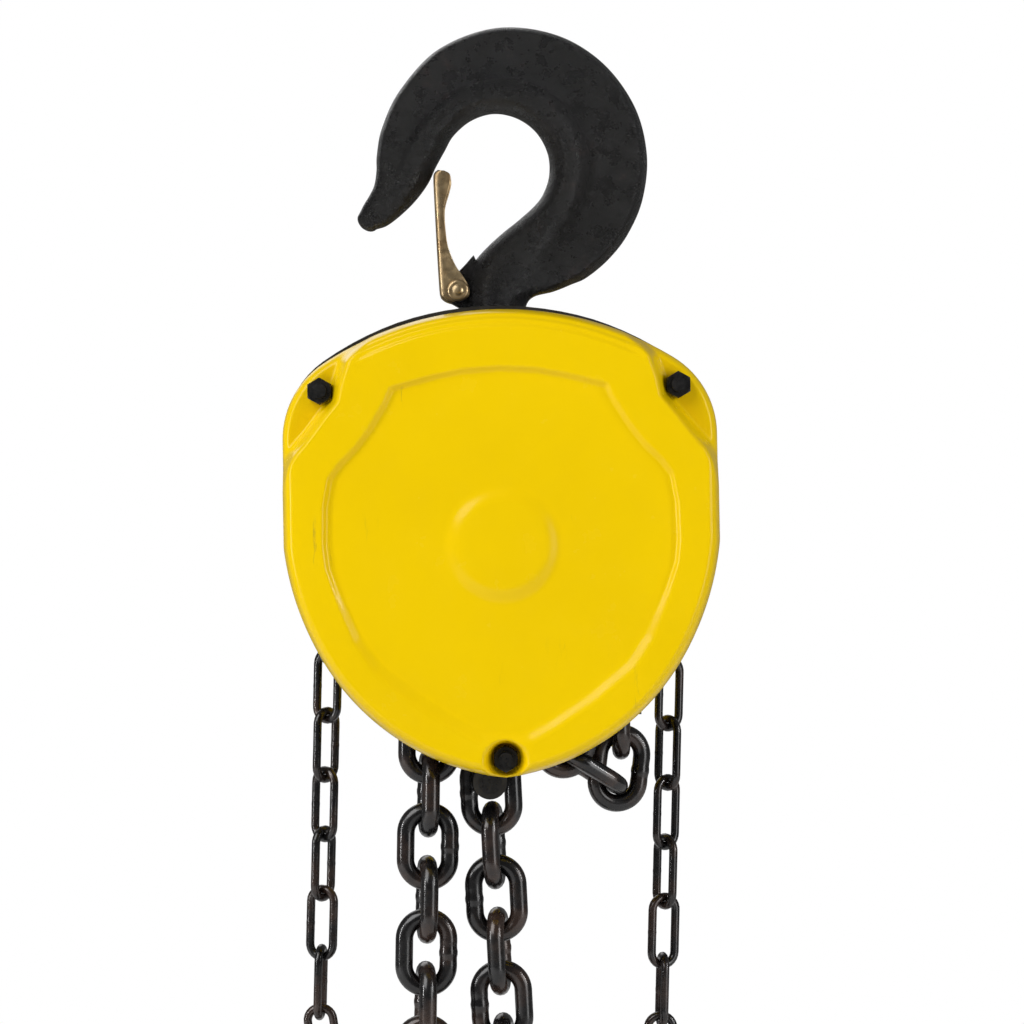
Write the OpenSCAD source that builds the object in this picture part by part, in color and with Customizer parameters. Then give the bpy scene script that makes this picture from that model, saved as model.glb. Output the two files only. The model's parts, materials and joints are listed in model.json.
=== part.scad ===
// Two-fall hand chain hoist. +Z is up and +X is to the right of someone who faces the gear cover,
// which looks towards -Y. The origin is the centre of the seat of the top hook.

/* [Load chain] */
// Wire diameter of the load chain
load_wire = 10; // [9.5:0.1:10]
// Inside length of one load chain link
load_pitch = 30; // [30:0.1:30.5]
// Distance between the wire centres of the two limbs of a load chain link
load_limb = 25; // [24:0.5:26]

/* [Hand chain] */
// Wire diameter of the hand chain
hand_wire = 5; // [4.5:0.1:5.5]
// Inside length of one hand chain link
hand_pitch = 35; // [34:0.5:36]
// Distance between the wire centres of the two limbs of a hand chain link
hand_limb = 15; // [14:0.5:16]
// Links in each straight side of the hand chain loop, an even number
hand_side_links = 8; // [6:2:40]
// Lean of the hand chain, in degrees from the upright
hand_lean = 2.4; // [0:0.1:4]

/* [Frame] */
// Height of the hook seat above the load sheave axis
seat_height = 212; // [205:1:230]
// Largest half width of the covers
cover_half = 120; // [118:0.5:122]
// Thickness of each side plate
plate_t = 8; // [6:0.5:9]
// Half of the gap between the side plates
plate_gap = 22; // [21.5:0.1:23]
// Depth of the gear cover in front of its side plate
gear_cover_depth = 46; // [44:1:52]
// Distance from the sheave axis plane to the back of the hand wheel cover
wheel_cover_back = 105; // [103:1:115]
// Sheet thickness of both covers
sheet = 2.5; // [1.5:0.5:3]

/* [Hooks] */
// Radius of the seat of each hook
seat_r = 31; // [29:0.5:32]
// Thickness of each hook
hook_t = 36; // [30:1:40]
// Radius of each hook shank
shank_r = 16.5; // [14:0.5:17]

/* [Gears] */
// Teeth of the drive shaft pinion and of the pinions behind the disc gears
pinion_teeth = 8; // [8:1:8]
// Teeth of the disc gears
disc_teeth = 40; // [40:1:40]
// Teeth of the load gear
load_gear_teeth = 56; // [56:1:56]
// Distance from the sheave axis to each disc gear axis
gear_distance = 54; // [54:1:56]

/* [Hidden] */
$fn = 64;

// Clearance that each chain joint has along the chain
joint_gap = 0.1;
// Clearance of every running fit, on the radius
run = 0.05;
M8 = 4;
M8_hex = 7.5;
nut_h = 6.5;

// Places of the fixings, seen from the front, about the sheave axis
top_studs = [[-98, 85.5], [98, 85.5]];
low_stays = [[-84, -52], [84, -52]];
low_stud = [0, -117];
yoke_z = 92;
pin_r = 13;

// ---- small helpers ----
module in_frame() { translate([0, 0, -seat_height]) children(); }
module slab(y0, y1) { translate([0, y1, 0]) rotate([90, 0, 0]) linear_extrude(y1 - y0) children(); }
module rod(r, y0, y1, x = 0, z = 0) {
    translate([x, y1, z]) rotate([90, 0, 0]) cylinder(r = r, h = y1 - y0);
}
module tube(r, bore, y0, y1, x = 0, z = 0) {
    difference() {
        rod(r, y0, y1, x, z);
        rod(bore, y0 - 1, y1 + 1, x, z);
    }
}
// Hexagon nut along Y with one corner up and both rims chamfered
module hex_nut(y0, y1, x, z, corner, bore) {
    difference() {
        translate([x, y1, z]) rotate([90, 0, 0]) intersection() {
            rotate(90) cylinder(r = corner, h = y1 - y0, $fn = 6);
            cylinder(r1 = corner * 0.86, r2 = corner * 0.86 + y1 - y0, h = y1 - y0);
            cylinder(r1 = corner * 0.86 + y1 - y0, r2 = corner * 0.86, h = y1 - y0);
        }
        rod(bore, y0 - 1, y1 + 1, x, z);
    }
}
function arc(c, r, a0, a1, n) =
    [for (i = [0:n]) let (a = a0 + (a1 - a0) * i / n) [c[0] + r * cos(a), c[1] + r * sin(a)]];
function mirrored(points) = [for (i = [len(points) - 1:-1:0]) [-points[i][0], points[i][1]]];
function unit(v) = v / norm(v);

// ---- chains ----
// A chain is a row of points. Each link lies between two of them, and the points are the wire
// centres of the links that stand edge-on, so neighbouring links can turn about them freely.
function edge_half(pitch, wire) = (pitch + wire + joint_gap) / 2;
function face_half(pitch, wire) = (pitch - wire - joint_gap) / 2;
// Distance along a straight chain after i links, when the first is edge-on (1) or face-on (-1)
function run_length(i, pitch, wire, first) = i * pitch + (i % 2) * first * (wire + joint_gap);
function strand(start, dir, n, pitch, wire, first) =
    [for (i = [0:n]) start + dir * run_length(i, pitch, wire, first)];
// Radius of the circle through the points of a chain that lies on a wheel with pockets
function wrap_r(pitch, wire, pockets) =
    let (e = edge_half(pitch, wire), f = face_half(pitch, wire), a = 180 / pockets)
    sqrt(e * e + f * f + 2 * e * f * cos(a)) / sin(a);

module chain_link(pitch, wire, limb) {
    straight = (pitch + wire + joint_gap - limb) / 2;
    for (side = [-1, 1]) {
        translate([side * limb / 2, 0, -straight]) cylinder(d = wire, h = 2 * straight, $fn = 32);
        rotate([0, 90 - side * 90, 0]) translate([0, 0, straight]) rotate([90, 0, 0])
            rotate_extrude(angle = 180) translate([limb / 2, 0]) circle(d = wire, $fn = 32);
    }
    translate([limb / 2, 0, -wire / 8]) cylinder(d = wire * 1.08, h = wire / 4, $fn = 32);
}
// A link from point p to point q. turn is its roll: 0 face-on, 90 edge-on
module link_between(p, q, turn, pitch, wire, limb) {
    u = unit(q - p);
    face = unit([u[2], 0, -u[0]]);
    side = cross(u, face);
    w = face * cos(turn) + side * sin(turn);
    v = cross(u, w);
    c = (p + q) / 2;
    multmatrix([[w[0], v[0], u[0], c[0]], [w[1], v[1], u[1], c[1]], [w[2], v[2], u[2], c[2]],
            [0, 0, 0, 1]])
        chain_link(pitch, wire, limb);
}
module load_links(points, turns) {
    for (i = [0:len(points) - 2])
        link_between(points[i], points[i + 1], turns[i], load_pitch, load_wire, load_limb);
}

EDGE = 90;
FACE = 0;
load_e = edge_half(load_pitch, load_wire);
load_f = face_half(load_pitch, load_wire);
sheave_pockets = 4;
sheave_r = wrap_r(load_pitch, load_wire, sheave_pockets);
sheave_edge = 2 * asin(load_e / sheave_r);
sheave_face = 2 * asin(load_f / sheave_r);
// Angle of the point where the live fall leaves the sheave
sheave_leave = 181.3;
function on_circle(r, a) = [r * cos(a), 0, r * sin(a)];
sheave_angles = [sheave_leave, sheave_leave - sheave_face,
    sheave_leave - sheave_face - sheave_edge, sheave_leave - 2 * sheave_face - sheave_edge,
    sheave_leave - 2 * sheave_face - 2 * sheave_edge];
sheave_points = [for (a = sheave_angles) on_circle(sheave_r, a)];

idler_pockets = 3;
idler_r = wrap_r(load_pitch, load_wire, idler_pockets);
idler_edge = 2 * asin(load_e / idler_r);
idler_face = 2 * asin(load_f / idler_r);
idler_enter = 240 - idler_face / 2;
idler_angles = [idler_enter, idler_enter + idler_face, idler_enter + idler_face + idler_edge];
idler_local = [for (a = idler_angles) on_circle(idler_r, a)];

// Both falls lean by the same angle, so that the block hangs in balance
live_links = 13;
dead_links = 9;
still_links = 4;
anchor_x = -9;
anchor_r = 6.5;
live_len = run_length(live_links, load_pitch, load_wire, 1);
// From the anchor pin's centre to the lower point of the link that hangs on it
anchor_drop = load_pitch / 2 + joint_gap / 2 - anchor_r - joint_gap + load_f;
anchor_gap = load_pitch / 2 + joint_gap / 2 - anchor_r - joint_gap;
dead_len = anchor_drop - 2 * load_f + run_length(dead_links, load_pitch, load_wire, -1);
span = idler_local[2] - idler_local[0];
lean = asin((span[0] - (anchor_x - sheave_points[0][0])) / (live_len + dead_len));
live_dir = [-sin(lean), 0, -cos(lean)];
dead_dir = [sin(lean), 0, -cos(lean)];
live_end = sheave_points[0] + live_dir * live_len;
anchor_z = live_end[2] + span[2] + dead_len * cos(lean);
idler_c = live_end - idler_local[0];
live_points = strand(sheave_points[0], live_dir, live_links, load_pitch, load_wire, 1);
dead_start = [anchor_x, 0, anchor_z] + dead_dir * (anchor_gap - load_f);
dead_points = strand(dead_start, dead_dir, dead_links, load_pitch, load_wire, -1);
fall_twist = 8;
function some(list, a, b) = [for (i = [a:b]) list[i]];
live_turns = [for (i = [0:live_links - 1])
    i % 2 == 1 ? FACE : i < live_links - 1 ? EDGE - fall_twist : EDGE];
dead_turns = [for (i = [0:dead_links - 1]) i % 2 == 0 ? FACE : EDGE + fall_twist];

// The slack side leaves the sheave, bunches loosely between the plates and hangs from the tail
function turned(start, kind, angle) =
    start + 2 * (kind == EDGE ? load_e : load_f) * [cos(angle), 0, sin(angle)];
slack_1 = turned(sheave_points[4], FACE, -40);
slack_2 = turned(slack_1, EDGE, -100);
slack_3 = turned(slack_2, FACE, -150);
slack_4 = turned(slack_3, EDGE, -77);
slack_5 = turned(slack_4, FACE, -112);
slack_6 = slack_5 + 2 * load_e * unit([15, 7, -10.2]);
slack_7 = slack_6 + 2 * load_f * unit([0.14, 0, 1]);
slack_8 = slack_7 + 2 * load_e * [0, 0, 1];
slack_points = [sheave_points[4], slack_1, slack_2, slack_3, slack_4, slack_5, slack_6, slack_7,
    slack_8];
slack_turns = [FACE, EDGE, FACE, EDGE, -11, 80, 12, EDGE];
tail_c = slack_8 - [0, 0, load_wire + joint_gap];

hand_pockets = 9;
hand_r = wrap_r(hand_pitch, hand_wire, hand_pockets);
hand_edge = 2 * asin(edge_half(hand_pitch, hand_wire) / hand_r);
hand_face = 2 * asin(face_half(hand_pitch, hand_wire) / hand_r);
hand_y = 68;
hand_over = 9;
// Angle passed after i links on a wheel, when the first is edge-on (1) or face-on (-1)
function passed(i, first) =
    let (a = first > 0 ? hand_edge : hand_face, b = first > 0 ? hand_face : hand_edge)
    ceil(i / 2) * a + floor(i / 2) * b;
hand_dir = [-sin(hand_lean), 0, -cos(hand_lean)];
over_start = 90 - hand_lean + passed(hand_over, 1) / 2;
over_points = [for (i = [0:hand_over]) on_circle(hand_r, over_start - passed(i, 1))];
hand_drop = hand_dir * hand_side_links * hand_pitch;
under_start = -90 - hand_lean - passed(hand_over, -1) / 2;
under_points = [for (i = [0:hand_over]) hand_drop + on_circle(hand_r, under_start + passed(i, -1))];
left_points = strand(over_points[0], hand_dir, hand_side_links, hand_pitch, hand_wire, -1);
right_points = strand(over_points[hand_over], hand_dir, hand_side_links, hand_pitch, hand_wire, -1);
hand_twist = 42;

// ---- outlines of the covers and plates, about the sheave axis ----
corner_r = 50;
corner_c = [cover_half - corner_r, 59.2];
top_c = [0, -51.8];
top_a = atan2(corner_c[1] - top_c[1], corner_c[0]);
top_r = norm(corner_c - top_c) + corner_r;
// Radius of the lower edge at an angle below the horizontal
function lower_r(a) = cover_half - 2.8 + 2.8 * pow(max(0, 1 - a / 25), 2)
    + 11.2 * pow(max(0, (a - 25) / 65), 1.6);
function lower_points(inset) = [for (a = [90:-5:0]) (lower_r(a) - inset) * [cos(a), -sin(a)]];
// Right half of the outline from the bottom to the apex. rise lifts its crown
function half_outline(inset, rise) = [for (p = concat(lower_points(inset),
    arc(corner_c, corner_r - inset, 0, top_a, 9), arc(top_c, top_r - inset, top_a + 3, 90, 10)))
    [p[0], p[1] + rise * min(1, max(0, (p[1] - 60) / 60))]];
function outline(inset, rise = 0) =
    concat(half_outline(inset, rise), some(mirrored(half_outline(inset, rise)), 1,
        len(half_outline(inset, rise)) - 2));

// ---- hooks, in the hook's own frame with its seat at the origin ----
outer_c = [8.8, 2.3];
outer_r = 77.5;
latch_p = [-22, -69.4];
latch_pin_r = 4;
latch_lobe = 6.6;
neck_z = -78;
nut_thread = 12;
ear_half = 7.3;
function hook_outline() = concat(
    arc(outer_c, outer_r, 170, -58, 44),
    [[34.8, -70], [26.3, -73], [shank_r + 1.5, neck_z], [shank_r, neck_z - 6]],
    [[-shank_r, neck_z - 6], [-20, neck_z], [-29, latch_p[1] - 3], [-27, latch_p[1] + 6]],
    [[-12.7, -49.8], [2.8, -37]],
    arc([0, 0], seat_r, -52, 180, 30),
    [[-35, -6], [-44, -17], [-56, -27.5]],
    arc([-71, -27.5], 6.5, -70, -215, 8),
    [[-70, -13], [-68, -4]]);
// The shank is plain down to the height plain, and then threaded for the nut
module hook_body(plain) {
    difference() {
        union() {
            slab(-hook_t / 2, hook_t / 2) polygon(hook_outline());
            translate([0, 0, plain - nut_thread]) cylinder(r = shank_r - 2, h = nut_thread + 1);
            translate([0, 0, plain]) cylinder(r = shank_r, h = neck_z - 4 - plain);
        }
        // The ear is thinner than the hook, so that the latch straddles it and can swing open
        for (side = [-1, 1]) slab(side > 0 ? ear_half : -hook_t, side > 0 ? hook_t : -ear_half)
            polygon([[-40, latch_p[1] - 9], [-13.4, latch_p[1] - 9], [-13.4, -66], [-10.6, -50],
                [-6, -40], [-40, -40]]);
        // Rounded below, so that it turns between the tops of the plates
        translate([0, 0, neck_z - 7]) difference() {
            translate([-40, -40, 0]) cube([80, 80, 7.6]);
            translate([0, 0, -1]) cylinder(r = plate_gap - 0.5, h = 10);
        }
        rod(latch_pin_r, -hook_t, hook_t, latch_p[0], latch_p[1]);
    }
}
module latch() {
    top = [-32.5, -3];
    difference() {
        union() {
            for (side = [-1, 1]) slab(side * 9.4 - 1, side * 9.4 + 1)
                polygon(concat(arc(latch_p, latch_lobe, -90, 20, 8), [[-25, -48], [-28.5, -30],
                    [-27, -10]], arc(top, 5, 20, 170, 5), [[-37.5, -30], [-35, -60],
                    [-33, latch_p[1] - latch_lobe]]));
            slab(-10.4, 10.4) polygon([[-38.2, -30], [-35.4, -60], [-33.4, latch_p[1] - 6],
                [-31.4, latch_p[1] - 6], [-33.4, -60], [-36, -30], [-35, -6], [-37.4, -4]]);
        }
        rod(latch_pin_r + run, -20, 20, latch_p[0], latch_p[1]);
        // The nose rests against the inside of the hook's tip
        slab(-12, 12) polygon([[-30.3, 8], [-30.3, 0.6], [-34.3, -5.4], [-43.3, -16.4], [-60, -16],
            [-60, 8]]);
    }
}
module latch_pin() {
    rod(latch_pin_r, -11, 11, latch_p[0], latch_p[1]);
    for (side = [-1, 1]) rod(latch_pin_r + 2.2, side * 11.8 - 1, side * 11.8 + 1, latch_p[0],
        latch_p[1]);
}
// Torsion spring: one coil round each end of the pin, inside the cheeks of the latch
module latch_spring() {
    wire = 0.8;
    for (side = [-1, 1])
        translate([latch_p[0], side * (ear_half + 0.55), latch_p[1]]) rotate([90, 0, 0])
            rotate_extrude() translate([latch_pin_r + 0.9, 0]) circle(d = wire, $fn = 16);
}
module hook_nut(height) {
    difference() {
        cylinder(r = shank_r + 5, h = height);
        translate([0, 0, -1]) cylinder(r = shank_r - 2, h = height + 2);
    }
}
module thrust_ring(height) {
    difference() {
        cylinder(r = shank_r + 5, h = height);
        translate([0, 0, -1]) cylinder(r = shank_r + 0.5, h = height + 2);
    }
}

yoke_half = 18;
thrust_h = 3;
top_nut_h = 11;
module top_hook() {
    color([0.06, 0.055, 0.055]) hook_body(yoke_z - yoke_half - thrust_h - seat_height);
}
module top_latch() { color([0.62, 0.5, 0.3]) latch(); }
module top_latch_pin() { color([0.5, 0.42, 0.28]) latch_pin(); }
module top_latch_spring() { color([0.3, 0.3, 0.3]) latch_spring(); }
module top_hook_nut() {
    color([0.2, 0.2, 0.2]) in_frame()
        translate([0, 0, yoke_z - yoke_half - thrust_h - top_nut_h]) hook_nut(top_nut_h);
}
module top_hook_bearing() {
    color([0.5, 0.5, 0.5]) in_frame()
        translate([0, 0, yoke_z - yoke_half - thrust_h]) thrust_ring(thrust_h);
}
// Cross head: the shank turns in it, and it rocks on its two trunnions in the side plates
module top_yoke() {
    color([0.1, 0.1, 0.1]) in_frame() difference() {
        union() {
            translate([-30, -plate_gap + 0.5, yoke_z - yoke_half])
                cube([60, 2 * plate_gap - 1, 2 * yoke_half]);
            rod(pin_r, -plate_gap - plate_t, plate_gap + plate_t, 0, yoke_z);
        }
        translate([0, 0, yoke_z - yoke_half - 1]) cylinder(r = shank_r + run, h = 2 * yoke_half + 2);
    }
}

// ---- frame ----
front_y = -plate_gap - plate_t;
rear_y = plate_gap + plate_t;
tab_r = 9.5;
bush_r = 17;
disc_shaft_r = 7;
post_z = 62;
pawl_pivots = [[-52, 46], [52, -46]];
roller_c = [64, 24];
module plate_holes(y0, y1) {
    for (p = concat(top_studs, low_stays)) rod(M8, y0, y1, p[0], p[1]);
    rod(pin_r + run, y0, y1, 0, yoke_z);
    rod(bush_r, y0, y1);
    rod(anchor_r, y0, y1, anchor_x, anchor_z);
    for (side = [-1, 1]) rod(3, y0, y1, side * roller_c[0], roller_c[1]);
    rod(M8, y0, y1, low_stud[0], low_stud[1]);
}
module gear_side_plate() {
    color([0.07, 0.065, 0.06]) in_frame() difference() {
        union() {
            slab(front_y, -plate_gap) translate([-1.4, 0]) polygon(outline(1.5, 4.3));
            rod(tab_r, front_y, -plate_gap, anchor_x, anchor_z);
        }
        plate_holes(front_y - 1, -plate_gap + 1);
        for (side = [-1, 1]) {
            rod(disc_shaft_r + run, front_y - 1, -plate_gap + 1, side * gear_distance, 0);
            rod(4, front_y - 1, -plate_gap + 1, 0, side * post_z);
        }
    }
}
module wheel_side_plate() {
    color([0.07, 0.065, 0.06]) in_frame() difference() {
        union() {
            slab(plate_gap, rear_y) translate([-1.4, 0]) polygon(outline(1.5, 4.3));
            rod(tab_r, plate_gap, rear_y, anchor_x, anchor_z);
        }
        plate_holes(plate_gap - 1, rear_y + 1);
        for (p = pawl_pivots) rod(4, plate_gap - 1, rear_y + 1, p[0], p[1]);
        // Open corner for the tail of the chain
        translate([50, plate_gap - 1, -160]) cube([80, plate_t + 2, 160 - 68]);
    }
}
land_y = -52;
wheel_rim_y = 46;
module stay_bolts() {
    color([0.12, 0.12, 0.12]) in_frame() {
        for (p = top_studs) rod(M8, land_y - nut_h - 4.5, wheel_rim_y + 12, p[0], p[1]);
        for (p = low_stays) {
            rod(M8, front_y - 1, rear_y + 1, p[0], p[1]);
            for (y = [front_y - 3, rear_y + 1]) rod(M8 + 3, y, y + 2, p[0], p[1]);
        }
    }
}
module stay_sleeves() {
    color([0.16, 0.16, 0.16]) in_frame()
        for (p = concat(top_studs, low_stays)) tube(9, M8, -plate_gap, plate_gap, p[0], p[1]);
}
module cover_studs() {
    color([0.12, 0.12, 0.12]) in_frame() {
        rod(M8, land_y - nut_h - 4.5, -plate_gap - 1, low_stud[0], low_stud[1]);
        rod(M8, plate_gap + 1, wheel_rim_y + 12, low_stud[0], low_stud[1]);
    }
}
module cover_nuts() {
    color([0.08, 0.08, 0.08]) in_frame() for (p = concat(top_studs, [low_stud])) {
        hex_nut(land_y - nut_h, land_y, p[0], p[1], M8_hex, M8);
        hex_nut(wheel_rim_y + sheet, wheel_rim_y + sheet + nut_h, p[0], p[1], M8_hex, M8);
    }
}
module chain_anchor_pin() {
    color([0.1, 0.1, 0.1]) in_frame() {
        rod(anchor_r, front_y, rear_y, anchor_x, anchor_z);
        rod(tab_r - 1, rear_y, rear_y + 3, anchor_x, anchor_z);
    }
}
tail_low = 6.5;
tail_cheek = [3, plate_gap + tail_c[1] + 8, tail_low + 9];
module tail_anchor() {
    color([0.12, 0.12, 0.12]) in_frame() difference() {
        for (x = [-10.3, 7.3]) translate([tail_c[0] + x, -plate_gap, tail_c[2] - tail_low])
            cube(tail_cheek);
        translate([tail_c[0] - 20, tail_c[1], tail_c[2]]) rotate([0, 90, 0])
            cylinder(r = 5, h = 40);
    }
    color([0.12, 0.12, 0.12]) in_frame()
        translate([tail_c[0] - 8, -plate_gap, tail_c[2] - tail_low]) cube([16, 5, tail_cheek[2]]);
}
module tail_pin() {
    color([0.3, 0.3, 0.3]) in_frame() translate([tail_c[0] - 12.5, tail_c[1], tail_c[2]])
        rotate([0, 90, 0]) {
            cylinder(r = 5, h = 25);
            cylinder(r = 7, h = 2);
        }
}
// Finger in the groove of the sheave that keeps the falls from being drawn round with it
module chain_stripper() {
    color([0.14, 0.14, 0.14]) in_frame() difference() {
        union() {
            translate([-9, -plate_gap, -62]) cube([18, 2 * plate_gap, 12]);
            slab(-4.5, 4.5) polygon([[-9, -56], [9, -56], [5, -19.5], [-5, -19.5]]);
        }
        rod(3, -plate_gap - 1, plate_gap + 1, 0, -56);
    }
}
module guide_roller(side) {
    color([0.35, 0.35, 0.36]) in_frame() difference() {
        rod(10, -16, 16, side * roller_c[0], roller_c[1]);
        rod(3 + run, -20, 20, side * roller_c[0], roller_c[1]);
    }
}
module guide_roller_left() { guide_roller(-1); }
module guide_roller_right() { guide_roller(1); }
module guide_pins() {
    color([0.4, 0.4, 0.4]) in_frame() for (side = [-1, 1])
        rod(3, front_y, rear_y, side * roller_c[0], roller_c[1]);
}
journal_r = 13;
module sheave_bushes() {
    color([0.6, 0.45, 0.25]) in_frame() {
        tube(bush_r, journal_r + run, front_y, -plate_gap);
        tube(bush_r, journal_r + run, plate_gap, rear_y);
    }
}

// ---- sheaves ----
// Body with a groove for the links that stand on edge and a flat-floored pocket for the others
module pocket_wheel(outer, half, groove, floor, reach, pockets, first, core, wire, limb) {
    difference() {
        rod(outer, -half, half);
        difference() {
            rod(outer + 1, -wire * 0.8, wire * 0.8);
            rod(core, -wire, wire);
        }
        for (i = [0:pockets - 1]) rotate([0, -first - i * 360 / pockets, 0])
            translate([floor, -groove, -reach]) cube([outer, 2 * groove, 2 * reach]);
    }
}
pocket_reach = 26;
sheave_floor = sheave_r * cos(sheave_edge / 2) - load_wire / 2 - 0.7;
first_pocket = sheave_leave - sheave_face - sheave_edge / 2;
gear_y = [-46, -34];
disc_y = [-59, -50];
module load_sheave() {
    color([0.2, 0.19, 0.18]) in_frame() difference() {
        union() {
            pocket_wheel(46, 20.5, 18.2, sheave_floor, pocket_reach, sheave_pockets, first_pocket,
                18, load_wire, load_limb);
            rod(journal_r, -47, rear_y + 1);
        }
        rod(9.5, -60, 60);
    }
}
// Involute gear about the Y axis
function inv(a) = tan(a) * 180 / PI - a;
function gear_outline(m, z, shift, turn, thin) =
    let (alpha = 20, rp = m * z / 2, rb = rp * cos(alpha), tip = m * (z / 2 + 1 + shift) - 0.06 * m,
        root = m * (z / 2 - 1.25 + shift),
        half = 90 / z + (2 * shift * tan(alpha)) * 90 / (PI * z) * 2 - thin / rp * 90 / PI,
        base = half + inv(alpha), start = max(rb, root), n = 5)
    [for (i = [0:z - 1], k = [0:2 * n + 3])
        let (q = k <= n + 1 ? k : 2 * n + 3 - k,
            r = q == 0 ? root : start + (tip - start) * (q - 1) / n,
            a = acos(min(1, rb / max(r, rb))),
            w = base - inv(a), at = turn + i * 360 / z + (k <= n + 1 ? -w : w))
        [r * cos(at), r * sin(at)]];
module gear(m, z, shift, turn, y0, y1) { slab(y0, y1) polygon(gear_outline(m, z, shift, turn, 0.12)); }
fast_m = 2 * gear_distance / (pinion_teeth + disc_teeth);
slow_m = 2 * gear_distance / (pinion_teeth + load_gear_teeth);
gear_shift = 0.53;
module load_gear() {
    color([0.32, 0.31, 0.3]) in_frame() difference() {
        gear(slow_m, load_gear_teeth, -gear_shift, 0, gear_y[0], gear_y[1]);
        rod(journal_r, -60, 0);
        for (i = [0:5]) rotate([0, 60 * i + 30, 0]) rod(7, -60, 0, 30, 0);
    }
}
shaft_r = 9;
module drive_shaft() {
    color([0.4, 0.4, 0.4]) in_frame() difference() {
        union() {
            gear(fast_m, pinion_teeth, gear_shift, 0, disc_y[0] - 1, -48);
            rod(6, -66, -59);
            rod(shaft_r, -48, 92);
        }
        translate([-2, 86, -12]) cube([4, 3, 24]);
    }
}
module disc_gear(side) {
    color([0.38, 0.37, 0.36]) in_frame() translate([side * gear_distance, 0, 0]) {
        difference() {
            gear(fast_m, disc_teeth, -gear_shift, 180 / disc_teeth, disc_y[0], disc_y[1]);
            for (i = [0:4]) rotate([0, 72 * i, 0]) rod(8, -70, 0, 27, 0);
        }
        gear(slow_m, pinion_teeth, gear_shift, 180 / pinion_teeth, gear_y[0] - 5, gear_y[1] + 1);
        rod(disc_shaft_r, gear_y[1], -plate_gap);
        rod(6, -66, disc_y[0]);
    }
}
module disc_gear_left() { disc_gear(-1); }
module disc_gear_right() { disc_gear(1); }
module gear_bearing_plate() {
    color([0.3, 0.3, 0.31]) in_frame() difference() {
        union() {
            slab(-66, -62) polygon(concat(arc([gear_distance, 0], 13, -49, 49, 8),
                arc([0, post_z], 9, 49, 131, 6), arc([-gear_distance, 0], 13, 131, 229, 8),
                arc([0, -post_z], 9, 229, 311, 6)));
            for (side = [-1, 1]) {
                rod(7, -62, front_y, 0, side * post_z);
                rod(4, front_y, -plate_gap - 2, 0, side * post_z);
            }
        }
        for (x = [-gear_distance, 0, gear_distance]) rod(6 + run, -70, -60, x, 0);
    }
}

// ---- gear cover ----
face_y = front_y - gear_cover_depth;
// Raised field: the outline with the corners at the fixings cut off by diagonal steps
module raised_field(inset) {
    difference() {
        polygon(outline(10 + inset));
        for (side = [-1, 1]) polygon([[side * (68 - inset), 130], [side * (79 - inset), 106],
            [side * (85 - inset), 78], [side * (116 - inset), 44], [side * 140, 44],
            [side * 140, 130]]);
        translate([0, -117]) circle(r = 14 + inset);
    }
}
module gear_cover() {
    color([0.93, 0.78, 0.02]) in_frame() {
        difference() {
            union() {
                slab(land_y, front_y) polygon(outline(0));
                slab(face_y, land_y) raised_field(0);
            }
            difference() {
                slab(land_y + sheet, front_y + 1) polygon(outline(sheet));
                for (p = concat(top_studs, [low_stud])) rod(8, land_y, front_y, p[0], p[1]);
            }
            slab(face_y + sheet, land_y + sheet + 1) raised_field(sheet);
            for (p = concat(top_studs, [low_stud])) rod(M8, face_y, front_y + 1, p[0], p[1]);
        }
    }
}

// ---- load brake and hand wheel ----
module brake_hub() {
    color([0.42, 0.41, 0.4]) in_frame() {
        tube(40, shaft_r, 34, 39);
        tube(16, shaft_r, 39, 51);
    }
}
module friction_discs() {
    color([0.32, 0.22, 0.15]) in_frame() for (y = [39, 48]) tube(39, 16 + run, y, y + 3);
}
ratchet_teeth = 16;
ratchet_root = 41;
ratchet_tip = 47;
// The steep side of each tooth meets a pawl when the load tries to turn the disc back
module ratchet_disc() {
    color([0.36, 0.35, 0.34]) in_frame() difference() {
        slab(42, 48) polygon([for (i = [0:ratchet_teeth - 1], k = [0, 1])
            let (a = (i + k * 0.88) * 360 / ratchet_teeth, r = k == 0 ? ratchet_root : ratchet_tip)
            [r * cos(a), r * sin(a)]]);
        rod(16 + run, 40, 50);
    }
}
function polar(r, a) = [r * cos(a), r * sin(a)];
pawl_r = 8;
module pawl() {
    p = pawl_pivots[0];
    a = atan2(p[1], p[0]);
    color([0.4, 0.38, 0.36]) difference() {
        union() {
            rod(pawl_r, 42, 48, p[0], p[1]);
            slab(42, 48) polygon([polar(41.6, 113.4), polar(47.5, 112), p + polar(pawl_r, a - 30),
                p, p + polar(pawl_r, a + 180)]);
        }
        rod(4 + run, 40, 50, p[0], p[1]);
    }
}
module pawl_left() { in_frame() pawl(); }
module pawl_right() { in_frame() rotate([0, 180, 0]) pawl(); }
module pawl_pins() {
    color([0.4, 0.4, 0.4]) in_frame() for (p = pawl_pivots) {
        rod(4, plate_gap, 50, p[0], p[1]);
        rod(6, rear_y, 41.7, p[0], p[1]);
        rod(6, 48.3, 50, p[0], p[1]);
    }
}
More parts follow.
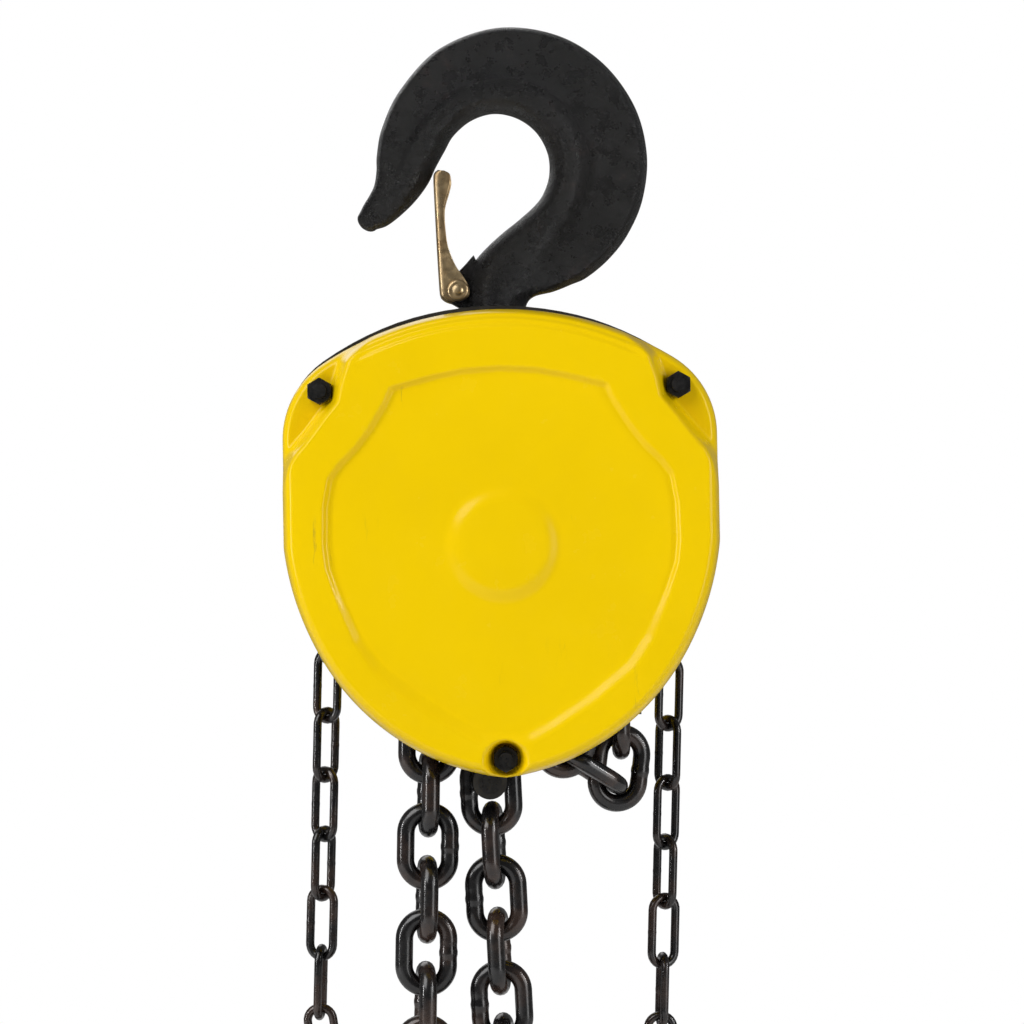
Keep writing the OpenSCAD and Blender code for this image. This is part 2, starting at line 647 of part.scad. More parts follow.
// Torsion springs, two turns round the shoulder of each pawl pin
module pawl_springs() {
    color([0.5, 0.5, 0.5]) in_frame() for (p = pawl_pivots, turn = [0, 1])
        translate([p[0], 36 + turn * 2.2, p[1]]) rotate([90, 0, 0])
            rotate_extrude() translate([7.3, 0]) circle(r = 1, $fn = 16);
}
hand_floor = hand_r * cos(hand_edge / 2) - hand_wire / 2 - 0.25;
hand_first = over_start - hand_edge / 2;
module hand_wheel() {
    color([0.12, 0.12, 0.12]) in_frame() difference() {
        union() {
            translate([0, hand_y, 0]) difference() {
                pocket_wheel(106.5, 14.5, 10.6, hand_floor, 24.6, hand_pockets, hand_first,
                    88, hand_wire, hand_limb);
                rod(84, 3, 20);
                rod(84, -20, -3);
            }
            rod(22, 51, 80);
        }
        rod(shaft_r, 40, 90);
        for (i = [0:5]) rotate([0, 60 * i, 0]) rod(14, 60, 76, 53, 0);
    }
}
module castle_nut() {
    color([0.35, 0.35, 0.35]) in_frame() difference() {
        hex_nut(80, 90, 0, 0, 15, shaft_r);
        for (i = [0:2]) rotate([0, 60 * i, 0]) translate([-2, 86, -20]) cube([4, 5, 40]);
    }
}
module split_pin() {
    color([0.6, 0.6, 0.6]) in_frame() translate([0, 87.5, -15]) {
        cylinder(r = 1.3, h = 33);
        translate([0, 0, 33]) sphere(r = 2.2, $fn = 24);
    }
}
module hand_wheel_cover() {
    color([0.93, 0.78, 0.02]) in_frame() difference() {
        slab(wheel_rim_y, wheel_cover_back) polygon(outline(0));
        difference() {
            slab(wheel_rim_y - 1, wheel_cover_back - sheet) polygon(outline(sheet));
            for (p = concat(top_studs, [low_stud]))
                rod(10, wheel_rim_y, wheel_rim_y + sheet, p[0], p[1]);
        }
        for (p = concat(top_studs, [low_stud])) {
            rod(M8, wheel_rim_y - 1, wheel_rim_y + sheet + 1, p[0], p[1]);
            rod(9, wheel_rim_y + sheet, wheel_cover_back + 1, p[0], p[1]);
        }
        // Mouths for the two sides of the hand chain
        for (side = [-1, 1]) translate([side > 0 ? 82 : -122, wheel_rim_y + 5, -100])
            cube([40, 34, 96]);
    }
}
// Two bent sheet guides that lead the hand chain into the pockets, one in each mouth of the cover
module guide_sheet(side, x, y, z, size) {
    translate([side > 0 ? x : -x - size[0], y, z]) cube(size);
}
module chain_guides() {
    color([0.1, 0.1, 0.1]) in_frame() for (side = [-1, 1]) {
        guide_sheet(side, 92, rear_y, -37, [14, 23.2, 3]);
        guide_sheet(side, 92, 51.3, -42, [24.2, 1.9, 18]);
        guide_sheet(side, 114.3, 51.3, -42, [1.9, 33.4, 18]);
        guide_sheet(side, 100, 82.8, -42, [16.2, 1.9, 18]);
    }
}

// ---- chains as nodes ----
chain_black = [0.07, 0.06, 0.06];
module sheave_chain() {
    color(chain_black) in_frame() load_links(sheave_points, [FACE, EDGE, FACE, EDGE]);
}
module live_fall_upper() {
    color(chain_black) in_frame()
        load_links(some(live_points, 0, still_links), some(live_turns, 0, still_links - 1));
}
module live_fall_lower() {
    color(chain_black) in_frame() load_links(some(live_points, still_links, live_links),
        some(live_turns, still_links, live_links - 1));
}
module dead_fall_upper() {
    color(chain_black) in_frame()
        load_links(some(dead_points, 0, still_links), some(dead_turns, 0, still_links - 1));
}
module dead_fall_lower() {
    color(chain_black) in_frame() load_links(some(dead_points, still_links, dead_links),
        some(dead_turns, still_links, dead_links - 1));
}
module slack_chain() { color(chain_black) in_frame() load_links(slack_points, slack_turns); }
module hand_links(points, first, twist) {
    n = len(points) - 1;
    for (i = [0:n - 1])
        link_between(points[i], points[i + 1],
            ((i + first) % 2) * 90 + twist * sin(180 * (i + 0.5) / n),
            hand_pitch, hand_wire, hand_limb);
}
module hand_chain() {
    color(chain_black) in_frame() translate([0, hand_y, 0]) {
        hand_links(over_points, 1, 0);
        hand_links(left_points, 0, hand_twist);
        hand_links(right_points, 0, -hand_twist);
        hand_links(under_points, 0, 0);
    }
}

// ---- bottom block, about the idler axis ----
module at_block() { in_frame() translate(idler_c) children(); }
block_half = 31;
block_r = 56;
block_low = -78;
block_wall = 9;
block_fixings = [[3, 42], [-36, -52], [36, -52]];
idler_journal = 9;
idler_bush = 13;
block_cavity = 22;
cavity_r = 50;
module block_outline() {
    circle(r = block_r);
    polygon([[-44, -20], [-44, block_low + 12], [-34, block_low], [34, block_low],
        [44, block_low + 12], [44, -20]]);
}
module block_shell(side) {
    difference() {
        slab(side > 0 ? 0 : -block_half, side > 0 ? block_half : 0) block_outline();
        rod(cavity_r, -block_cavity, block_cavity);
        // Mouth for the two falls
        translate([-cavity_r, -block_cavity, 0]) cube([2 * cavity_r, 2 * block_cavity, 60]);
        rod(idler_bush, -block_half - 1, block_half + 1);
        translate([0, 0, block_low + block_wall]) cylinder(r = shank_r + 10, h = 22);
        translate([0, 0, block_low - 1]) cylinder(r = shank_r + run, h = block_wall + 2);
        for (p = block_fixings) rod(M8, -block_half - 1, block_half + 1, p[0], p[1]);
    }
}
module block_shell_front() { color([0.08, 0.08, 0.08]) at_block() block_shell(-1); }
module block_shell_rear() { color([0.08, 0.08, 0.08]) at_block() block_shell(1); }
module block_bolts() {
    color([0.3, 0.3, 0.3]) at_block() for (p = block_fixings) {
        rod(M8, -block_half - 1, block_half + nut_h + 2, p[0], p[1]);
        translate([p[0], -block_half, p[1]]) rotate([90, 0, 0])
            rotate(90) cylinder(r = M8_hex, h = 5.3, $fn = 6);
    }
}
module block_nuts() {
    color([0.3, 0.3, 0.3]) at_block() for (p = block_fixings)
        hex_nut(block_half, block_half + nut_h, p[0], p[1], M8_hex, M8);
}
idler_floor = idler_r * cos(idler_edge / 2) - load_wire / 2 - 1.8;
module idler_sheave() {
    color([0.2, 0.19, 0.18]) at_block() {
        pocket_wheel(36, 20.5, 18.2, idler_floor, pocket_reach, idler_pockets,
            idler_angles[1] + idler_edge / 2, 9.5, load_wire, load_limb);
        rod(idler_journal, -block_half + 1, block_half - 1);
    }
}
module idler_bushes() {
    color([0.6, 0.45, 0.25]) at_block() {
        tube(idler_bush, idler_journal + run, -block_half, -block_cavity);
        tube(idler_bush, idler_journal + run, block_cavity, block_half);
    }
}
module idler_chain() {
    color(chain_black) at_block() load_links(idler_local, [FACE, EDGE]);
}
bottom_seat = block_low + neck_z - 7;
module at_bottom_hook() { at_block() translate([0, 0, bottom_seat]) rotate([0, 180, 0]) children(); }
bottom_nut_h = 11;
module bottom_hook() {
    color([0.06, 0.055, 0.055]) at_bottom_hook()
        hook_body(bottom_seat - block_low - block_wall - thrust_h);
}
module bottom_hook_nut() {
    color([0.2, 0.2, 0.2]) at_block()
        translate([0, 0, block_low + block_wall + thrust_h]) hook_nut(bottom_nut_h);
}
module bottom_hook_bearing() {
    color([0.5, 0.5, 0.5]) at_block()
        translate([0, 0, block_low + block_wall]) thrust_ring(thrust_h);
}
module bottom_latch() { color([0.62, 0.5, 0.3]) at_bottom_hook() latch(); }
module bottom_latch_pin() { color([0.5, 0.42, 0.28]) at_bottom_hook() latch_pin(); }
module bottom_latch_spring() { color([0.3, 0.3, 0.3]) at_bottom_hook() latch_spring(); }

top_hook();
top_latch();
top_latch_pin();
top_latch_spring();
top_hook_nut();
top_hook_bearing();
top_yoke();
gear_side_plate();
wheel_side_plate();
stay_bolts();
stay_sleeves();
cover_studs();
cover_nuts();
chain_anchor_pin();
tail_anchor();
tail_pin();
chain_stripper();
guide_roller_left();
guide_roller_right();
guide_pins();
sheave_bushes();
load_sheave();
load_gear();
drive_shaft();
disc_gear_left();
disc_gear_right();
gear_bearing_plate();
gear_cover();
brake_hub();
friction_discs();
ratchet_disc();
pawl_left();
pawl_right();
pawl_pins();
pawl_springs();
hand_wheel();
castle_nut();
split_pin();
hand_wheel_cover();
chain_guides();
sheave_chain();
live_fall_upper();
live_fall_lower();
dead_fall_upper();
dead_fall_lower();
slack_chain();
hand_chain();
block_shell_front();
block_shell_rear();
block_bolts();
block_nuts();
idler_sheave();
idler_bushes();
idler_chain();
bottom_hook();
bottom_hook_nut();
bottom_hook_bearing();
bottom_latch();
bottom_latch_pin();
bottom_latch_spring();
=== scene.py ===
# %% [markdown]
# A hand chain hoist with two falls of load chain. The frame, the gears and every small turned part
# come finished from the CAD model. Here the parts that are forged, pressed or bent get their real
# surfaces: two forged hooks with their latches, two pressed covers and all the chain links.

# %% Load the frame
import json
import math

import bmesh
import bpy
import numpy as np
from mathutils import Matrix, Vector


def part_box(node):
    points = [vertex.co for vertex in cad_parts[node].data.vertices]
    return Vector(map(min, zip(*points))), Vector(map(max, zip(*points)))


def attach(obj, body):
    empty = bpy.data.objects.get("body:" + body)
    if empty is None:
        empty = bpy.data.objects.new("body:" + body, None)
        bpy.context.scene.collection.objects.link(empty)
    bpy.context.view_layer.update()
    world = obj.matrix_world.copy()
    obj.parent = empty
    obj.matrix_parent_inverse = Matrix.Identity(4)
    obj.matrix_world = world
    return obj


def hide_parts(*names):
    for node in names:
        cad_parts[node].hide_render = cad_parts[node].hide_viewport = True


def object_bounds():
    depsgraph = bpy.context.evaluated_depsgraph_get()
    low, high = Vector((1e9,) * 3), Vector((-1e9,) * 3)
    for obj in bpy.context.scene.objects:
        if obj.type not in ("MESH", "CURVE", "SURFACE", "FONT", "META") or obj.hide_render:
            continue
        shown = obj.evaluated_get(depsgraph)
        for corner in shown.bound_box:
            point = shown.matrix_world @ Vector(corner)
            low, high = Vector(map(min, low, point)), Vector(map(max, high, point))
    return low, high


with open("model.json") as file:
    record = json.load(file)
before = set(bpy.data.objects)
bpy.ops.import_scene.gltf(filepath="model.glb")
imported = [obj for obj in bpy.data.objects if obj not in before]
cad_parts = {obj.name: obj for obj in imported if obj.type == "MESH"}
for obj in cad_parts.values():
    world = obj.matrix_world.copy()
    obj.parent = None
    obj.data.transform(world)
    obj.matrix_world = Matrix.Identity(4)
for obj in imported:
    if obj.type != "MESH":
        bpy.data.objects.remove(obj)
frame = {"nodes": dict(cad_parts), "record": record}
cad_low, cad_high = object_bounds()
print("CAD box", [round(v, 4) for v in (*cad_low, *cad_high)])

# %% [markdown]
# Sizes are in metres here, and the few that the shapes share are named once. The load sheave's
# axis is read from the sheave itself, so the covers and chains sit on the frame wherever it is.

# %% Shared places
MM = 0.001
sheave_low, sheave_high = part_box("load_gear")
AXIS = np.array([0.0, 0.0, (sheave_low.z + sheave_high.z) / 2])
block_low, block_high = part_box("idler_bushes")
IDLER = np.array([(block_low.x + block_high.x) / 2, 0.0, (block_low.z + block_high.z) / 2])
wheel_low, wheel_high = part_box("hand_wheel_cover")
cover_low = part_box("gear_cover")[0]
print("sheave axis", AXIS, "idler axis", IDLER)

# %% [markdown]
# Every new surface is a grid of points worked out with numpy. One helper turns a grid into a mesh:
# rows run along the shape and columns run round it. Where the ends are closed, a fan of triangles
# to one middle point makes the pole. Normals are recalculated, because a closed skin has one
# outside only.

# %% Mesh helpers
def grid_quads(rows, columns, wrap_columns, start=0):
    """Quads between neighbouring rows and columns, the last column joined to the first if wrapped."""
    i = np.arange(rows - 1)[:, None]
    j = np.arange(columns if wrap_columns else columns - 1)[None, :]
    k = (j + 1) % columns
    corners = [i * columns + j, i * columns + k, (i + 1) * columns + k, (i + 1) * columns + j]
    return np.stack(np.broadcast_arrays(*corners), -1).reshape(-1, 4) + start


def make_piece(name, points, faces, body, material, outward=True):
    """A finished piece from its points and faces, riding on a CAD body."""
    mesh = bpy.data.meshes.new(name)
    mesh.from_pydata(points.tolist(), [], faces)
    if outward:
        shell = bmesh.new()
        shell.from_mesh(mesh)
        bmesh.ops.recalc_face_normals(shell, faces=shell.faces)
        shell.to_mesh(mesh)
        shell.free()
    mesh.polygons.foreach_set("use_smooth", [True] * len(mesh.polygons))
    piece = bpy.data.objects.new(name, mesh)
    bpy.context.scene.collection.objects.link(piece)
    mesh.materials.append(material)
    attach(piece, body)
    return piece


def skin(grids):
    """Points and faces of closed skins: each grid has rows along it, columns round it, and poles."""
    points = []
    faces = []
    start = 0
    for grid in grids:
        rows, columns = grid.shape[:2]
        points += [grid.reshape(-1, 3), grid[0].mean(0)[None], grid[-1].mean(0)[None]]
        faces += grid_quads(rows, columns, True, start).tolist()
        first = start + rows * columns
        last = start + (rows - 1) * columns
        for j in range(columns):
            k = (j + 1) % columns
            faces.append([start + j, first, start + k])
            faces.append([last + j, last + k, first + 1])
        start += rows * columns + 2
    return np.concatenate(points), faces


def smooth_row(values, count):
    """A smooth curve through a row of points, by the Catmull-Rom formula, at evenly spaced steps."""
    values = np.asarray(values, float)
    padded = np.concatenate([2 * values[:1] - values[1:2], values, 2 * values[-1:] - values[-2:-1]])
    t = np.linspace(0, len(values) - 1, count)
    i = np.minimum(t.astype(int), len(values) - 2)
    f = (t - i)[:, None] if values.ndim > 1 else t - i
    a, b, c, d = (padded[i + k] for k in range(4))
    return 0.5 * (2 * b + (c - a) * f + (2 * a - 5 * b + 4 * c - d) * f**2
                  + (3 * b - a - 3 * c + d) * f**3)


def even_loop(points, count):
    """Count points at even steps along a closed row of points."""
    closed = np.concatenate([points, points[:1]])
    along = np.concatenate([[0], np.cumsum(np.hypot(*np.diff(closed, axis=0).T))])
    at = np.linspace(0, along[-1], count, endpoint=False)
    return np.stack([np.interp(at, along, closed[:, k]) for k in range(closed.shape[1])], 1)


def step(x):
    """Smooth step from 0 to 1 while x goes from 0 to 1."""
    x = np.clip(x, 0, 1)
    return x * x * (3 - 2 * x)


def quarter(x):
    """Rises from 0 to 1 like the quarter of a circle while x goes from 0 to 1."""
    x = np.clip(x, 0, 1)
    return np.sqrt(1 - (1 - x) ** 2)

# %% [markdown]
# A material here is a Principled shader whose colour, roughness and bump come from noise on Object
# coordinates. Those are metres in the shared frame, so a noise scale of 300 gives grains of about
# three millimetres on every piece, whatever its size.

# %% Material helpers
class Finish:
    """A small set of tools round one Principled material."""

    def __init__(self, name, metallic, roughness, coat=0.0, coat_roughness=0.1, specular=0.5):
        self.material = bpy.data.materials.new(name)
        self.material.use_nodes = True
        self.tree = self.material.node_tree
        self.shader = self.tree.nodes["Principled BSDF"]
        self.shader.inputs["Metallic"].default_value = metallic
        self.shader.inputs["Roughness"].default_value = roughness
        self.shader.inputs["Coat Weight"].default_value = coat
        self.shader.inputs["Coat Roughness"].default_value = coat_roughness
        self.shader.inputs["Specular IOR Level"].default_value = specular
        self.place = self.tree.nodes.new("ShaderNodeTexCoord").outputs["Object"]

    def noise(self, scale, detail=4.0, roughness=0.55, stretch=(1, 1, 1)):
        mapping = self.tree.nodes.new("ShaderNodeMapping")
        mapping.inputs["Scale"].default_value = stretch
        self.tree.links.new(self.place, mapping.inputs["Vector"])
        texture = self.tree.nodes.new("ShaderNodeTexNoise")
        texture.inputs["Scale"].default_value = scale
        texture.inputs["Detail"].default_value = detail
        texture.inputs["Roughness"].default_value = roughness
        self.tree.links.new(mapping.outputs["Vector"], texture.inputs["Vector"])
        return texture.outputs["Fac"]

    def spread(self, value, low, high, out_low=0.0, out_high=1.0):
        node = self.tree.nodes.new("ShaderNodeMapRange")
        node.interpolation_type = "SMOOTHSTEP"
        node.inputs["From Min"].default_value = low
        node.inputs["From Max"].default_value = high
        node.inputs["To Min"].default_value = out_low
        node.inputs["To Max"].default_value = out_high
        self.tree.links.new(value, node.inputs["Value"])
        return node.outputs["Result"]

    def times(self, a, b):
        node = self.tree.nodes.new("ShaderNodeMath")
        node.operation = "MULTIPLY"
        for value, socket in zip((a, b), node.inputs):
            if isinstance(value, (int, float)):
                socket.default_value = value
            else:
                self.tree.links.new(value, socket)
        return node.outputs["Value"]

    def mix(self, factor, a, b):
        node = self.tree.nodes.new("ShaderNodeMix")
        node.data_type = "RGBA"
        self.tree.links.new(factor, node.inputs["Factor"])
        for value, socket in ((a, node.inputs["A"]), (b, node.inputs["B"])):
            if isinstance(value, tuple):
                socket.default_value = (*value, 1)
            else:
                self.tree.links.new(value, socket)
        return node.outputs["Result"]

    def colour(self, value):
        self.tree.links.new(value, self.shader.inputs["Base Color"])

    def rough(self, value):
        self.tree.links.new(value, self.shader.inputs["Roughness"])

    def bump(self, height, strength, distance):
        node = self.tree.nodes.new("ShaderNodeBump")
        node.inputs["Strength"].default_value = strength
        node.inputs["Distance"].default_value = distance
        self.tree.links.new(height, node.inputs["Height"])
        if self.shader.inputs["Normal"].is_linked:
            earlier = self.shader.inputs["Normal"].links[0].from_socket
            self.tree.links.new(earlier, node.inputs["Normal"])
        self.tree.links.new(node.outputs["Normal"], self.shader.inputs["Normal"])

# %% [markdown]
# The covers are pressed from sheet and sprayed with a glossy yellow enamel. It is nearly one
# colour, a little deeper in patches, with fine orange peel and a few grey scuffs where the hoist
# has rubbed. The scuffs are thin stretched noise, let through only in a few broad patches.

# %% Yellow enamel
def yellow_enamel():
    f = Finish("yellow_enamel", 0.0, 0.2, specular=0.22)
    broad = f.spread(f.noise(9, 3), 0.35, 0.7)
    body = f.mix(broad, (0.89, 0.6, 0.0), (0.86, 0.575, 0.0))
    where = f.spread(f.noise(16, 2), 0.56, 0.7)
    streak = f.spread(f.noise(120, 6, 0.7, (1, 1, 0.16)), 0.6, 0.72)
    scuff = f.times(f.times(where, streak), 0.5)
    f.colour(f.mix(scuff, body, (0.22, 0.17, 0.03)))
    f.rough(f.spread(f.noise(60, 4), 0.3, 0.8, 0.16, 0.3))
    f.bump(f.noise(420, 2), 0.05, 0.0006)
    return f.material

# %% [markdown]
# The hooks are drop forged and keep their scale: black with a purple-brown cast, dull in the
# hollows and rubbed to a soft gleam on the ribs. Three sizes of noise give the lumpy skin, the
# grain and the small pits.

# %% Forged black
def forged_black():
    f = Finish("forged_black", 0.0, 0.5, specular=0.5)
    cloud = f.spread(f.noise(28, 5, 0.65), 0.35, 0.68)
    base = f.mix(cloud, (0.001, 0.001, 0.0012), (0.005, 0.0045, 0.005))
    rust = f.spread(f.noise(55, 5, 0.7), 0.58, 0.72)
    f.colour(f.mix(f.times(rust, 0.5), base, (0.035, 0.02, 0.018)))
    f.rough(f.spread(f.noise(90, 6, 0.7), 0.3, 0.7, 0.2, 0.42))
    f.bump(f.noise(38, 3), 0.6, 0.006)
    f.bump(f.noise(300, 6, 0.8), 1.0, 0.003)
    return f.material

# %% [markdown]
# Chain steel is blackened in oil. It is smooth, so it shows sharp lights, and where links have
# rubbed it turns a coppery brown.

# %% Chain black
def chain_black():
    f = Finish("chain_black", 0.35, 0.3, coat=0.6, coat_roughness=0.14, specular=0.5)
    brown = f.spread(f.noise(34, 4, 0.6), 0.44, 0.66)
    base = f.mix(brown, (0.006, 0.0055, 0.006), (0.045, 0.026, 0.019))
    f.colour(base)
    f.rough(f.spread(f.noise(160, 5), 0.3, 0.75, 0.18, 0.38))
    f.bump(f.noise(500, 4), 0.14, 0.0004)
    return f.material

# %% [markdown]
# The remaining finishes are plain workshop ones, so one function makes them from two tones, a
# roughness range and a grain size.

# %% Workshop finishes
def workshop_finish(name, dark, light, metallic, rough, grain, bump=0.15, coat=0.0):
    f = Finish(name, metallic, rough[0], coat=coat)
    f.colour(f.mix(f.spread(f.noise(grain, 5, 0.6), 0.35, 0.68), dark, light))
    f.rough(f.spread(f.noise(grain * 2.5, 4), 0.3, 0.75, rough[0], rough[1]))
    f.bump(f.noise(grain * 5, 4), bump, 0.0005)
    return f.material


def latch_zinc():
    """Yellow passivated zinc: brass-like, mottled and stained darker in spots."""
    f = Finish("latch_zinc", 0.85, 0.35)
    tone = f.mix(f.spread(f.noise(60, 5, 0.6), 0.35, 0.7), (0.3, 0.2, 0.1), (0.46, 0.35, 0.2))
    stain = f.spread(f.noise(150, 5, 0.7), 0.58, 0.72)
    f.colour(f.mix(f.times(stain, 0.6), tone, (0.16, 0.11, 0.06)))
    f.rough(f.spread(f.noise(220, 4), 0.3, 0.75, 0.26, 0.5))
    f.bump(f.noise(600, 4), 0.12, 0.0004)
    return f.material


FINISHES = {
    "cover_yellow": yellow_enamel(),
    "forged_black": forged_black(),
    "chain_black": chain_black(),
    "latch_zinc": latch_zinc(),
    "frame_black": workshop_finish("frame_black", (0.006, 0.0055, 0.005), (0.018, 0.016, 0.014), 0.0,
                                   (0.38, 0.6), 60),
    "nut_black": workshop_finish("nut_black", (0.004, 0.004, 0.004), (0.012, 0.011, 0.011), 0.0,
                                 (0.26, 0.45), 200),
    "machined_steel": workshop_finish("machined_steel", (0.34, 0.34, 0.35), (0.5, 0.5, 0.51), 0.95,
                                      (0.22, 0.4), 120),
    "gear_steel": workshop_finish("gear_steel", (0.2, 0.19, 0.18), (0.36, 0.35, 0.34), 0.9,
                                  (0.3, 0.5), 90),
    "wheel_iron": workshop_finish("wheel_iron", (0.03, 0.028, 0.027), (0.07, 0.064, 0.06), 0.4,
                                  (0.5, 0.75), 70, 0.35),
    "bush_bronze": workshop_finish("bush_bronze", (0.4, 0.26, 0.11), (0.58, 0.41, 0.2), 0.9,
                                   (0.28, 0.45), 110),
    "friction_lining": workshop_finish("friction_lining", (0.1, 0.06, 0.04), (0.2, 0.13, 0.08), 0.0,
                                       (0.75, 0.95), 220, 0.5),
    "spring_steel": workshop_finish("spring_steel", (0.2, 0.2, 0.21), (0.32, 0.32, 0.33), 0.9,
                                    (0.25, 0.4), 150),
}
for part in frame["record"]["subparts"]:
    node = frame["nodes"][part["node"]]
    node.data.materials.clear()
    node.data.materials.append(FINISHES[part["material_slot"]])
print(len(FINISHES), "finishes on", len(frame["nodes"]), "CAD nodes")

# %% [markdown]
# The outline of both covers is a broad arc on top, two round shoulders, and a belly that narrows
# to a point below. Points are found on the right half and mirrored. The crown arc and the
# shoulders meet where their tangents agree.

# %% Cover outline
HALF = 120.0
SHOULDER_R = 50.0
SHOULDER = np.array([HALF - SHOULDER_R, 59.2])
CROWN = np.array([0.0, -51.8])


def belly_radius(angle):
    """Radius of the lower edge at an angle in degrees below the horizontal."""
    return (HALF - 2.8 + 2.8 * np.maximum(0, 1 - angle / 25) ** 2
            + 11.2 * np.maximum(0, (angle - 25) / 65) ** 1.6)


def ring(centre, radius, start, end, count):
    angles = np.radians(np.linspace(start, end, count))
    return np.stack([centre[0] + radius * np.cos(angles), centre[1] + radius * np.sin(angles)], 1)


def cover_outline(inset=0.0):
    """Closed outline in millimetres about the sheave axis, pulled in by inset."""
    tangent = math.degrees(math.atan2(SHOULDER[1] - CROWN[1], SHOULDER[0]))
    crown_r = np.hypot(*(SHOULDER - CROWN)) + SHOULDER_R
    down = np.linspace(90, 0, 40)
    radius = belly_radius(down) - inset
    belly = np.stack([radius * np.cos(np.radians(down)), -radius * np.sin(np.radians(down))], 1)
    right = np.concatenate([belly, ring(SHOULDER, SHOULDER_R - inset, 0, tangent, 16),
                            ring(CROWN, crown_r - inset, tangent + 1, 90, 20)])
    left = right[::-1][1:-1] * [-1, 1]
    return np.concatenate([right, left])


def inside_distance(points, outline):
    """Distance from points to a closed outline, positive inside it and negative outside."""
    a = outline
    b = np.roll(outline, -1, 0)
    edge = b - a
    best = np.full(len(points), 1e9)
    inside = np.zeros(len(points), bool)
    for p, e, q in zip(a, edge, b):
        t = np.clip(((points - p) @ e) / (e @ e + 1e-12), 0, 1)
        best = np.minimum(best, np.hypot(*(points - p - t[:, None] * e).T))
        crosses = (p[1] > points[:, 1]) != (q[1] > points[:, 1])
        at = p[0] + (points[:, 1] - p[1]) * e[0] / (e[1] if abs(e[1]) > 1e-9 else 1e-9)
        inside ^= crosses & (points[:, 0] < at)
    return np.where(inside, best, -best)

# %% [markdown]
# The gear cover is one deep pressing. Its depth at any point is a sum of simple steps of the
# distance to a line: a rounded rim, a high field that stops short of the three nuts, a shallow
# sunk panel and a raised boss in the middle. This gives soft press radii without any cutting.

# %% Gear cover
STUDS = np.array([[-98.0, 85.5], [98.0, 85.5]])
LOW_STUD = np.array([0.0, -117.0])
RIM_Y = -39.0
LAND_Y = -51.8
FIELD_Y = -73.0
FACE_LIMIT = cover_low.y / MM
PANEL = np.array([[0, 95.5], [20, 94.3], [37, 91], [58, 85.5], [62, 77], [70, 64], [78, 53.5],
                  [87, 44.5], [92.5, 37], [95.3, 22], [95.8, 1.3], [94.5, -11], [89, -27],
                  [79, -50.5], [68.5, -66], [47, -83.5], [24, -98.5], [12.8, -104.5], [0, -106]])
# Middle of the wall between the corner lands and the raised field
CORNER = np.array([[58, 150], [66, 124], [74, 112], [80, 107], [84, 102], [88, 90], [90, 80],
                   [96, 73], [104.5, 62], [113, 52], [117.5, 44], [121, 34], [135, 20],
                   [150, 150]])


def sunk_panel():
    return np.concatenate([PANEL, PANEL[::-1][1:-1] * [-1, 1]])


def cover_depth(x, z):
    """Depth of the pressing's outside, in millimetres towards the viewer, at places x and z."""
    points = np.stack([x, z], 1)
    side = np.stack([np.abs(x), z], 1)
    edge = inside_distance(points, cover_outline())
    corner = 0.5 - inside_distance(side, CORNER) / 7.5
    low = np.hypot(x - LOW_STUD[0], z - LOW_STUD[1]) - 7
    rim = quarter(edge / 5)
    field = quarter(edge / 8) * step(corner) * step(low / 5)
    inside = inside_distance(points, sunk_panel())
    wide = 3.8 + 5 * step((-z - 10) / 60)
    panel = step((inside + wide / 2) / wide)
    top = step((z - 92) / 12) * step((82 - np.abs(x)) / 12)
    groove = np.exp(-(((edge - 5.6) / 1.1) ** 2)) * 1.2 + (1 - step((edge - 9) / 2.6)) * 1.3
    boss = step((32.5 - np.hypot(x - 0.5, z)) / 9.5)
    return (RIM_Y + (LAND_Y - RIM_Y) * rim + (FIELD_Y - LAND_Y) * field
            + (2.6 * panel - 2.4 * boss + groove * top) * field)


def gear_cover():
    rim = even_loop(cover_outline(), 480)
    rings = np.concatenate([np.linspace(0.02, 0.6, 50), np.linspace(0.606, 1.0, 84)])
    flat = rings[:, None, None] * rim[None]
    depth = cover_depth(flat[..., 0].ravel(), flat[..., 1].ravel()).reshape(flat.shape[:2])
    front = np.stack([flat[..., 0], np.maximum(depth, FACE_LIMIT), flat[..., 1]], -1)
    back = []
    for inset, y in ((0, -36), (0, -31), (0.6, -30), (2.2, -30), (2.6, -31), (2.6, -38), (9, -47)):
        edge = rim * (1 - inset / np.hypot(*rim.T))[:, None]
        back.append(np.stack([edge[:, 0], np.full(len(edge), float(y)), edge[:, 1]], 1))
    grid = np.concatenate([front, np.stack(back)]) * MM + AXIS
    points, faces = skin([grid])
    cover = make_piece("gear_cover_pressing", points, faces, "frame",
                       FINISHES["cover_yellow"])
    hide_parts("gear_cover")
    print("gear cover", len(faces), "faces")


gear_cover()

# %% [markdown]
# The hand wheel cover is the same outline, deeper and with an open side towards the frame. It has
# a mouth on each side for the hand chain, so it is made as an open surface with those faces left
# out, and Solidify then gives the sheet its thickness.

